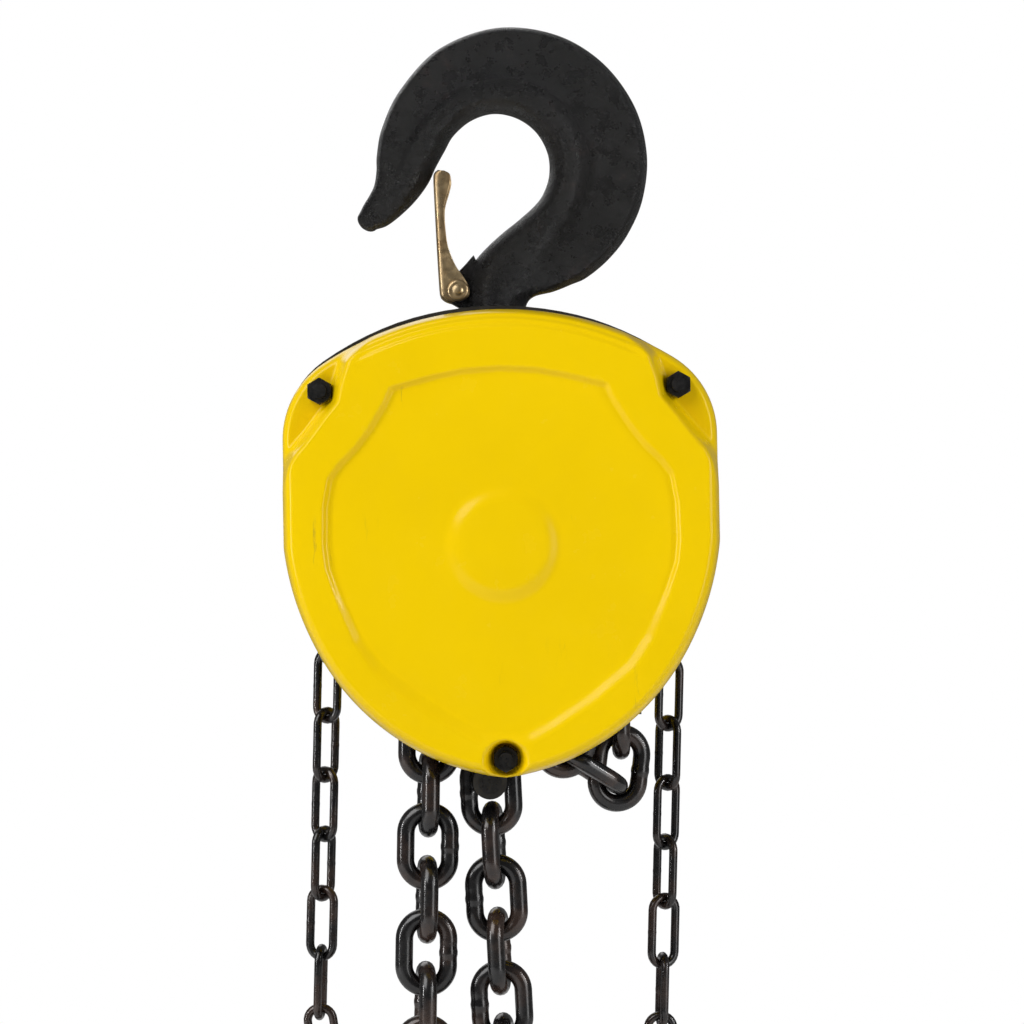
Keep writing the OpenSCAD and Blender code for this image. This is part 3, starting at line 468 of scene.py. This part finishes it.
# %% Hand wheel cover
def wheel_cover():
    rim = even_loop(cover_outline(), 360)
    back_y = wheel_high.y / MM
    front_y = wheel_low.y / MM
    rings = np.concatenate([np.linspace(0.03, 0.8, 40), np.linspace(0.81, 1.0, 34)])
    flat = rings[:, None, None] * rim[None]
    x, z = flat[..., 0].ravel(), flat[..., 1].ravel()
    edge = inside_distance(np.stack([x, z], 1), cover_outline())
    panel = step((edge - 17) / 6)
    boss = step((38 - np.hypot(x, z)) / 10)
    pocket = np.ones(len(x))
    for stud in (*STUDS, LOW_STUD):
        pocket = np.minimum(pocket, step((np.hypot(x - stud[0], z - stud[1]) - 5) / 9))
    depth = back_y - 7 + 7 * quarter(edge / 7) - 2.5 * panel + 2.0 * boss
    depth -= 7 * (1 - pocket)
    grid = [np.stack([flat[..., 0], depth.reshape(flat.shape[:2]), flat[..., 1]], -1)]
    walls = np.linspace(back_y - 10, front_y + 0.1, 26)
    grid.append(np.stack([np.stack([rim[:, 0], np.full(len(rim), y), rim[:, 1]], 1) for y in walls]))
    grid = np.concatenate(grid)
    rows, columns = grid.shape[:2]
    quads = grid_quads(rows, columns, True)
    middle = grid.reshape(-1, 3)[quads].mean(1)
    mouth = ((np.abs(middle[:, 0]) > 84) & (middle[:, 2] > -99) & (middle[:, 2] < -6)
             & (middle[:, 1] > front_y + 5) & (middle[:, 1] < front_y + 39))
    faces = quads[~mouth].tolist()
    pole = rows * columns
    faces += [[(j + 1) % columns, j, pole] for j in range(columns)]
    points = np.concatenate([grid.reshape(-1, 3), grid[0].mean(0)[None]]) * MM + AXIS
    cover = make_piece("hand_wheel_cover_pressing", points, faces, "frame",
                       FINISHES["cover_yellow"], outward=False)
    sheet = cover.modifiers.new("sheet", "SOLIDIFY")
    sheet.thickness = 2.2 * MM
    sheet.offset = -1
    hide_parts("hand_wheel_cover")
    print("hand wheel cover", len(faces), "faces")


wheel_cover()

# %% [markdown]
# A forged hook is carried along two edge curves: the inner edge goes round the seat, the outer
# edge round the back. At each station the section runs from edge to edge with a thick bead
# inside, a valley, a flatter web and a round back. The shank end turns into a circle.

# %% Forged hook
SEAT_R = 31.0
BACK = np.array([8.8, 2.3])
BACK_R = 77.5


def on_ring(centre, radius, angle):
    return [centre[0] + radius * math.cos(math.radians(angle)),
            centre[1] + radius * math.sin(math.radians(angle))]


HOOK_INNER = ([[-67.6, -33.3], [-61.3, -31.2], [-52.7, -24.8], [-44.6, -16.9], [-37.8, -7.8],
               [-33.3, 1.3]]
              + [on_ring((0, 0), r, a) for r, a in ((30, 160), (29.8, 140), (30.2, 115), (31, 90))]
              + [on_ring((0, 0), SEAT_R, a) for a in (65, 40, 15, -8, -28, -44)]
              + [[12.6, -30], [4, -36.6], [-5, -44.5], [-12.2, -52.5], [-16.4, -62], [-18, -72],
                 [-16.5, -84]])
HOOK_OUTER = ([[-77.2, -24.4], [-74.2, -18.8], [-70.9, -13.6], [-68.3, -8], [-67, 0],
               [-66.6, 9]]
              + [on_ring(BACK, r, a) for r, a in ((75.4, 163), (75.1, 145), (76.6, 121), (77.4, 95))]
              + [on_ring(BACK, BACK_R, a) for a in (70, 47, 24, 3, -16, -32, -45, -57)]
              + [[42, -66.6], [31.9, -70.4], [21, -73], [16.4, -78], [16.5, -86]])
HOOK_THICK = [13, 16, 20, 24, 28, 30, 31.5, 33.5, 35, 35.5, 35.5, 35.5, 35.5, 35.5, 35.5, 35.5,
              35.5, 35.2, 34.5, 33.8, 33.2, 33, 33]
HOOK_ROUND = ([1, 1, 0.9, 0.7, 0.45, 0.25, 0.1, 0.03] + [0] * 9
              + [0.05, 0.2, 0.5, 0.8, 1, 1])
# Where the valley between bead and web lies, as a share of the way from the inner to the outer edge
HOOK_VALLEY = [0.75, 0.72, 0.68, 0.65, 0.62, 0.58, 0.52, 0.45, 0.4, 0.38, 0.38, 0.39, 0.4, 0.41,
               0.42, 0.44, 0.48, 0.54, 0.6, 0.65, 0.7, 0.7, 0.7]
WEB = 0.72


def hook_section(q, roundness, valley):
    """Half thickness from the inner edge, q = 0, to the outer edge, q = 1, as a share of the full
    one: a circle where roundness is 1, and a round bead and a flat web where it is 0."""
    crest = valley / 1.95
    inner = np.sqrt(np.clip(1 - (1 - q / crest) ** 2, 0, 1))
    outer = np.sqrt(np.clip(1 - ((q - crest) / (1.3 * crest)) ** 2, 0, 1))
    bead = np.where(q < crest, inner, outer)
    web = WEB * np.sqrt(np.clip(1 - (np.maximum(q - 0.9, 0) / 0.1) ** 2, 0, 1))
    blend = 0.025
    forged = (bead + web + np.sqrt((bead - web) ** 2 + blend**2)) / 2
    forged = np.where(q < crest, bead, forged) * np.where(q > 0.9, web / WEB, 1)
    circle = np.sqrt(np.clip(1 - (2 * q - 1) ** 2, 0, 1))
    return forged * (1 - roundness) + circle * roundness


NOSE = np.array([-3.3, 0, -3.5])


def hook_grid():
    stations = 240
    inner = smooth_row(HOOK_INNER, stations)
    outer = smooth_row(HOOK_OUTER, stations)
    thick = smooth_row(HOOK_THICK, stations)
    roundness = np.clip(smooth_row(HOOK_ROUND, stations), 0, 1)
    valley = smooth_row(HOOK_VALLEY, stations)
    around = np.linspace(0, 2 * np.pi, 96, endpoint=False)
    q = 0.5 - 0.5 * np.cos(around)
    side = np.sign(np.sin(around))
    share = hook_section(q[None, :], roundness[:, None], valley[:, None])
    flat = inner[:, None] + (outer - inner)[:, None] * q[None, :, None]
    y = share * side * thick[:, None] / 2
    body = np.stack([flat[..., 0], y, flat[..., 1]], -1)
    centre = (inner[0] + outer[0]) / 2
    tip = []
    for s in (0.15, 0.4, 0.6, 0.76, 0.88, 0.96):
        near = body[0] * s + np.array([centre[0], 0, centre[1]]) * (1 - s)
        tip.append(near + NOSE * math.sqrt(1 - s * s))
    return np.concatenate([np.array(tip), body])


def ear_grid():
    """Flat ear for the latch rivet: a slab beside the neck that ends above in a small cusp."""
    edge = np.array([[-28.6, -70.5], [-26.8, -65], [-22.5, -59.5], [-17.5, -54.5], [-12.8, -49.2],
                     [-11.8, -52], [-6, -56], [0, -66], [-4, -82], [-16, -83], [-21, -79],
                     [-26.8, -75.5]])
    edge = even_loop(edge, 72)
    rows = []
    for inset, y in ((1.4, -7.2), (0.4, -6.9), (0, -6.2), (0, 6.2), (0.4, 6.9), (1.4, 7.2)):
        pulled = edge + (edge.mean(0) - edge) * inset / 16
        rows.append(np.stack([pulled[:, 0], np.full(len(edge), y), pulled[:, 1]], 1))
    return np.array(rows)


def shank_grid(low):
    """Turned shank: a narrower threaded end with a chamfer, then the plain part."""
    around = np.linspace(0, 2 * np.pi, 64, endpoint=False)
    profile = ((13.2, low), (14.4, low + 1.2), (14.4, low + 12), (16.4, low + 12.1), (16.4, -83))
    return np.array([np.stack([r * np.cos(around), r * np.sin(around), np.full(64, z)], 1)
                     for r, z in profile])


def hook(name, node, origin, flip, shank_low):
    grids = [hook_grid(), ear_grid(), shank_grid(shank_low)]
    turn = np.array([-1, 1, -1]) if flip else np.array([1, 1, 1])
    points, faces = skin([g * turn * MM + origin for g in grids])
    piece = make_piece(name, points, faces, node, FINISHES["forged_black"])
    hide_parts(node)
    return piece


top_low, top_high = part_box("top_hook")
hook("top_hook_forging", "top_hook", np.zeros(3), False, top_low.z / MM)
hook_low, hook_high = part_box("bottom_hook")
BOTTOM = np.array([IDLER[0], 0.0, hook_low.z + (BACK_R + BACK[1]) * MM])
hook("bottom_hook_forging", "bottom_hook", BOTTOM, True, (BOTTOM[2] - hook_high.z) / MM)

# %% [markdown]
# The latch is a strip of plated steel bent into a channel. Its section is a U whose two cheeks
# follow the outline of the side, wide at the rivet and at the nose and slim between. A surface
# through those sections gets its thickness from Solidify.

# %% Latches
LATCH_PIVOT = (-22, -69.4)
LATCH_HALF = 9.6
LATCH_LEVELS = [-75.4, -74.2, -72.2, -69.4, -66, -62, -55, -45, -34, -22, -12.6, -7, -3.6, -1.8]
LATCH_RIGHT = [-22.4, -17.8, -15.7, -15.4, -16.5, -18.6, -23.2, -27, -28.6, -28.8, -26.2, -24.9,
               -25.6, -28.6]
LATCH_LEFT = [-25.4, -28.8, -31.2, -31.7, -31.9, -32.1, -32.4, -32.8, -33.2, -33.6, -33.9, -34,
              -33.7, -31.8]


def latch(name, node, origin, flip):
    levels = smooth_row(LATCH_LEVELS, 70)
    right = smooth_row(LATCH_RIGHT, 70)
    left = smooth_row(LATCH_LEFT, 70)
    corner = np.radians(np.linspace(0, 90, 7))
    rows = []
    for z, r, l in zip(levels, right, left):
        start = max(r, l + 0.6)
        bend = min(2.4, (start - l) * 0.7)
        cheek = np.linspace(start, l + bend, 8)
        cheek = np.stack([cheek, np.full(8, -LATCH_HALF)], 1)
        round_bend = np.stack([l + bend - bend * np.sin(corner),
                               -LATCH_HALF + bend - bend * np.cos(corner)], 1)
        front = np.concatenate([cheek, round_bend[1:]])
        rows.append(np.concatenate([front, front[::-1] * [1, -1]]))
    section = np.array(rows)
    grid = np.stack([section[..., 0], section[..., 1],
                     np.broadcast_to(levels[:, None], section.shape[:2])], -1)
    turn = np.array([-1, 1, -1]) if flip else np.array([1, 1, 1])
    points = grid.reshape(-1, 3) * turn * MM + origin
    faces = grid_quads(*section.shape[:2], False).tolist()
    piece = make_piece(name, points, faces, node, FINISHES["latch_zinc"])
    sheet = piece.modifiers.new("sheet", "SOLIDIFY")
    sheet.thickness = 1.5 * MM
    sheet.offset = 0
    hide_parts(node)


latch("top_latch_strip", "top_latch", np.zeros(3), False)
latch("bottom_latch_strip", "bottom_latch", BOTTOM, True)


def rivet(name, node, origin, flip, body):
    """A rivet whose two heads are low domes with a ring pressed round them."""
    around = np.linspace(0, 2 * np.pi, 40, endpoint=False)
    profile = [(1.2, -13.0), (2.6, -12.6), (3.2, -11.9), (3.9, -12.2), (5.2, -12.1), (6.0, -11.4),
               (6.2, -10.7), (3.95, -10.6)]
    profile += [(r, -y) for r, y in profile[::-1]]
    grid = np.array([np.stack([LATCH_PIVOT[0] + r * np.cos(around), np.full(40, y),
                               LATCH_PIVOT[1] + r * np.sin(around)], 1) for r, y in profile])
    turn = np.array([-1, 1, -1]) if flip else np.array([1, 1, 1])
    points, faces = skin([grid * turn * MM + origin])
    piece = make_piece(name, points, faces, body, FINISHES["latch_zinc"])
    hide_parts(node)


rivet("top_latch_rivet", "top_latch_pin", np.zeros(3), False, "top_hook")
rivet("bottom_latch_rivet", "bottom_latch_pin", BOTTOM, True, "bottom_hook")

# %% [markdown]
# A chain is a row of points, and each link lies between two of them. The points are the wire
# centres of the links that stand edge-on, so the spacing alternates between long and short. One
# link is a round wire carried along a track of two straights and two half circles, with a weld
# bead on one straight. Every link of a chain is this one grid, turned and moved into place.

# %% Chain links
GAP = 0.1
LOAD = {"pitch": 30.0, "wire": 10.0, "limb": 25.0, "along": 64, "round": 16}
HAND = {"pitch": 35.0, "wire": 5.0, "limb": 15.0, "along": 52, "round": 12}


def link_grid(chain):
    """One link about its middle, long axis along z, in millimetres."""
    straight = (chain["pitch"] + chain["wire"] + GAP - chain["limb"]) / 2
    radius = chain["limb"] / 2
    arc = math.pi * radius
    total = 4 * straight + 2 * arc
    s = np.linspace(0, total, chain["along"], endpoint=False)
    centre = np.zeros((len(s), 2))
    normal = np.zeros((len(s), 2))
    for i, d in enumerate(s):
        half, d = divmod(d, total / 2)
        sign = 1 if half == 0 else -1
        if d < 2 * straight:
            place, out = (radius, d - straight), (1, 0)
        else:
            a = (d - 2 * straight) / radius
            out = (math.cos(a), math.sin(a))
            place = (radius * out[0], straight + radius * out[1])
        centre[i] = np.multiply(place, sign)
        normal[i] = np.multiply(out, sign)
    away = np.abs(s - straight)
    bead = (1 + 0.085 * np.exp(-(away / (0.13 * chain["wire"])) ** 2)
            - 0.03 * np.exp(-((away - 0.36 * chain["wire"]) / (0.1 * chain["wire"])) ** 2))
    a = np.linspace(0, 2 * np.pi, chain["round"], endpoint=False)
    radial = chain["wire"] / 2 * bead[:, None] * np.cos(a)
    across = chain["wire"] / 2 * bead[:, None] * np.sin(a)
    return np.stack([centre[:, :1] + normal[:, :1] * radial, across,
                     centre[:, 1:] + normal[:, 1:] * radial], -1)


def place_links(grid, points, turns):
    """Copies of a link grid between each pair of neighbouring points, each with its own roll."""
    placed = []
    for p, q, turn in zip(points[:-1], points[1:], turns):
        u = (q - p) / np.linalg.norm(q - p)
        flat = np.array([u[2], 0, -u[0]]) / math.hypot(u[0], u[2])
        a = math.radians(turn)
        w = flat * math.cos(a) + np.cross(u, flat) * math.sin(a)
        axes = np.array([w, np.cross(u, w), u])
        placed.append(grid @ axes + (p + q) / 2)
    return placed


def chain_piece(name, node, body, chain, runs, origin):
    """A chain from several runs of points and rolls, in the place of its CAD node."""
    grid = link_grid(chain)
    points = []
    faces = []
    for run_points, turns in runs:
        for link in place_links(grid, run_points, turns):
            rows, columns = link.shape[:2]
            start = len(points) * rows * columns
            i = np.arange(rows)[:, None]
            j = np.arange(columns)[None, :]
            quad = np.stack(np.broadcast_arrays(
                i * columns + j, i * columns + (j + 1) % columns,
                (i + 1) % rows * columns + (j + 1) % columns, (i + 1) % rows * columns + j), -1)
            faces += (quad.reshape(-1, 4) + start).tolist()
            points.append(link.reshape(-1, 3))
    piece = make_piece(name, np.concatenate(points) * MM + origin, faces, body,
                       FINISHES["chain_black"])
    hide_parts(node)
    print(name, len(points), "links")

# %% [markdown]
# The route of the load chain follows from the sheave and the idler. On a pocket wheel the points
# lie on one circle. Both falls lean by the same small angle, which balances the hook block.

# %% Load chain route
def long_half(chain):
    return (chain["pitch"] + chain["wire"] + GAP) / 2


def short_half(chain):
    return (chain["pitch"] - chain["wire"] - GAP) / 2


def wrap_radius(chain, pockets):
    e, f, a = long_half(chain), short_half(chain), math.pi / pockets
    return math.sqrt(e * e + f * f + 2 * e * f * math.cos(a)) / math.sin(a)


def wheel_point(radius, degrees):
    a = math.radians(degrees)
    return np.array([radius * math.cos(a), 0.0, radius * math.sin(a)])


def run_length(i, chain, first):
    return i * chain["pitch"] + (i % 2) * first * (chain["wire"] + GAP)


def strand(start, direction, count, chain, first):
    """Points of a straight run; first is 1 if it starts with an edge-on link and -1 if not."""
    return np.array([start + direction * run_length(i, chain, first) for i in range(count + 1)])


EDGE, FACE = 90, 0
SHEAVE_R = wrap_radius(LOAD, 4)
LONG = 2 * math.degrees(math.asin(long_half(LOAD) / SHEAVE_R))
SHORT = 2 * math.degrees(math.asin(short_half(LOAD) / SHEAVE_R))
LEAVE = 181.3
over = np.array([wheel_point(SHEAVE_R, a) for a in
                 (LEAVE, LEAVE - SHORT, LEAVE - SHORT - LONG, LEAVE - 2 * SHORT - LONG,
                  LEAVE - 2 * SHORT - 2 * LONG)])
chain_piece("sheave_chain_links", "sheave_chain", "frame", LOAD, [(over, [FACE, EDGE, FACE, EDGE])],
            AXIS)

IDLER_R = wrap_radius(LOAD, 3)
IDLER_LONG = 2 * math.degrees(math.asin(long_half(LOAD) / IDLER_R))
IDLER_SHORT = 2 * math.degrees(math.asin(short_half(LOAD) / IDLER_R))
ENTER = 240 - IDLER_SHORT / 2
under = np.array([wheel_point(IDLER_R, a) for a in
                  (ENTER, ENTER + IDLER_SHORT, ENTER + IDLER_SHORT + IDLER_LONG)])
chain_piece("idler_chain_links", "idler_chain", "bottom_block", LOAD, [(under, [FACE, EDGE])], IDLER)

pin_low, pin_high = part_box("chain_anchor_pin")
PIN = np.array([(pin_low.x + pin_high.x) / 2, 0.0, (pin_low.z + pin_high.z) / 2]) / MM - AXIS / MM
PIN_R = 6.5
LIVE, DEAD, STILL = 13, 9, 4
live_end = IDLER / MM - AXIS / MM + under[0]
live_way = (live_end - over[0]) / np.linalg.norm(live_end - over[0])
dead_way = live_way * [-1, 1, 1]
hang = LOAD["pitch"] / 2 + GAP / 2 - PIN_R - GAP
live = strand(over[0], live_way, LIVE, LOAD, 1)
dead = strand(PIN + dead_way * (hang - short_half(LOAD)), dead_way, DEAD, LOAD, -1)
TWIST = 8
live_rolls = [EDGE - TWIST if i % 2 == 0 else FACE + 180 for i in range(LIVE)]
live_rolls[-1] = EDGE
dead_rolls = [FACE if i % 2 == 0 else EDGE + TWIST for i in range(DEAD)]
falls = {"live_fall": (live, live_rolls), "dead_fall": (dead, dead_rolls)}
for fall, (points, rolls) in falls.items():
    chain_piece(f"{fall}_upper_links", f"{fall}_upper", "frame", LOAD,
                [(points[:STILL + 1], rolls[:STILL])], AXIS)
    chain_piece(f"{fall}_lower_links", f"{fall}_lower", fall, LOAD,
                [(points[STILL:], rolls[STILL:])], AXIS)

# %% [markdown]
# The slack side is loose. Its links lie at odd angles between the plates, and the last one hangs
# on the tail pin. Each link has its own direction, and its length follows from how it stands.

# %% Slack side
def slack_route():
    long_link, short_link = 2 * long_half(LOAD), 2 * short_half(LOAD)
    points = [over[-1]]
    for length, degrees in ((short_link, -40), (long_link, -100), (short_link, -150),
                            (long_link, -77), (short_link, -112)):
        points.append(points[-1] + wheel_point(length, degrees))
    for length, way in ((long_link, (15, 7, -10.2)), (short_link, (0.14, 0, 1)),
                        (long_link, (0, 0, 1))):
        points.append(points[-1] + length * np.array(way) / np.linalg.norm(way))
    return np.array(points)


chain_piece("slack_chain_links", "slack_chain", "frame", LOAD,
            [(slack_route(), [FACE, EDGE, FACE, EDGE, -11, 80, 12, EDGE])], AXIS)

# %% [markdown]
# The hand chain is an endless loop over the pocket wheel at the back. Its sides hang a little out
# of the upright and their links roll slowly one way and back, as a loose chain does.

# %% Hand chain
SIDE_LINKS = 8
HAND_LEAN = math.radians(2.4)
ROLL = 42
HAND_R = wrap_radius(HAND, 9)
STEP_LONG = 2 * math.degrees(math.asin(long_half(HAND) / HAND_R))
STEP_SHORT = 2 * math.degrees(math.asin(short_half(HAND) / HAND_R))
hand_low, hand_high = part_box("hand_chain")
HAND_AXIS = AXIS + np.array([0, (hand_low.y + hand_high.y) / 2, 0])


def passed(i, first):
    a, b = (STEP_LONG, STEP_SHORT) if first > 0 else (STEP_SHORT, STEP_LONG)
    return (i + 1) // 2 * a + i // 2 * b


def rolls(count, first, twist):
    return [(i + first) % 2 * 90 + twist * math.sin(math.pi * (i + 0.5) / count)
            for i in range(count)]


down = np.array([-math.sin(HAND_LEAN), 0, -math.cos(HAND_LEAN)])
start = 90 - math.degrees(HAND_LEAN) + passed(9, 1) / 2
upper = np.array([wheel_point(HAND_R, start - passed(i, 1)) for i in range(10)])
start = -90 - math.degrees(HAND_LEAN) - passed(9, -1) / 2
lower = np.array([down * SIDE_LINKS * HAND["pitch"] + wheel_point(HAND_R, start + passed(i, -1))
                  for i in range(10)])
chain_piece("hand_chain_links", "hand_chain", "frame", HAND,
            [(upper, rolls(9, 1, 0)), (strand(upper[0], down, SIDE_LINKS, HAND, -1),
                                       rolls(SIDE_LINKS, 0, ROLL)),
             (strand(upper[-1], down, SIDE_LINKS, HAND, -1), rolls(SIDE_LINKS, 0, -ROLL)),
             (lower, rolls(9, 0, 0))], HAND_AXIS)

# %% [markdown]
# The camera stands level with the covers, 1.6 m away, and is rolled by a little over a degree.
# Its focal length follows from the width it has to take in at that distance.

# %% Camera
DISTANCE = 1.6
VIEW_WIDTH = 0.5795
camera_data = bpy.data.cameras.new("camera")
camera_data.sensor_width = 36
camera_data.lens = 36 * DISTANCE / VIEW_WIDTH
camera_data.shift_x = 11 / 1024
camera_data.shift_y = -12 / 1024
camera = bpy.data.objects.new("camera", camera_data)
camera.location = (0, -DISTANCE, AXIS[2] + 0.0243)
camera.rotation_euler = (math.radians(90), math.radians(1.07), 0)
bpy.context.scene.collection.objects.link(camera)
bpy.context.scene.camera = camera

# %% [markdown]
# Light is plain and soft, as in a white studio: a bright pale world, one broad light from the
# front and above, and two tall panels at the sides that draw the long highlights on the press
# radii and on the chain. A pale floor lies well below the hook.

# %% Light and floor
def panel_light(name, place, aim, size, power):
    data = bpy.data.lights.new(name, "AREA")
    data.shape = "RECTANGLE"
    data.size, data.size_y = size
    data.energy = power
    lamp = bpy.data.objects.new(name, data)
    lamp.location = place
    lamp.rotation_euler = (Vector(aim) - Vector(place)).to_track_quat("-Z", "Y").to_euler()
    bpy.context.scene.collection.objects.link(lamp)


target = (0, 0, AXIS[2])
panel_light("key_light", (-1.6, -1.6, 1.5), target, (2.0, 2.0), 54)
panel_light("fill_light", (1.8, -1.5, -0.2), target, (0.9, 1.4), 13)
panel_light("left_strip", (-2.0, -0.9, -0.1), target, (0.07, 1.1), 14)
panel_light("right_strip", (2.0, -0.9, 0.3), target, (0.07, 1.1), 12)
panel_light("back_light", (-0.6, 2.2, 1.2), target, (1.6, 1.6), 9)

world = bpy.data.worlds.new("studio")
world.use_nodes = True
sky = world.node_tree
sky.nodes["Background"].inputs["Strength"].default_value = 0.13
backdrop = sky.nodes.new("ShaderNodeBackground")
backdrop.inputs["Strength"].default_value = 1.0
seen = sky.nodes.new("ShaderNodeLightPath")
either = sky.nodes.new("ShaderNodeMixShader")
for node in (sky.nodes["Background"], backdrop):
    node.inputs["Color"].default_value = (1, 1, 1, 1)
sky.links.new(seen.outputs["Is Camera Ray"], either.inputs["Fac"])
sky.links.new(sky.nodes["Background"].outputs["Background"], either.inputs[1])
sky.links.new(backdrop.outputs["Background"], either.inputs[2])
sky.links.new(either.outputs["Shader"], sky.nodes["World Output"].inputs["Surface"])
bpy.context.scene.world = world
bpy.context.scene.view_settings.view_transform = "Standard"

floor_mesh = bpy.data.meshes.new("floor")
floor_z = cad_low.z - 0.05
floor_mesh.from_pydata([(-2, -2, floor_z), (2, -2, floor_z), (2, 2, floor_z), (-2, 2, floor_z)], [],
                       [(0, 1, 2, 3)])
floor_finish = Finish("floor_paper", 0.0, 0.9)
floor_finish.colour(floor_finish.mix(floor_finish.noise(3, 2), (0.9, 0.9, 0.9), (0.94, 0.94, 0.94)))
floor_mesh.materials.append(floor_finish.material)
floor = bpy.data.objects.new("floor", floor_mesh)
bpy.context.scene.collection.objects.link(floor)
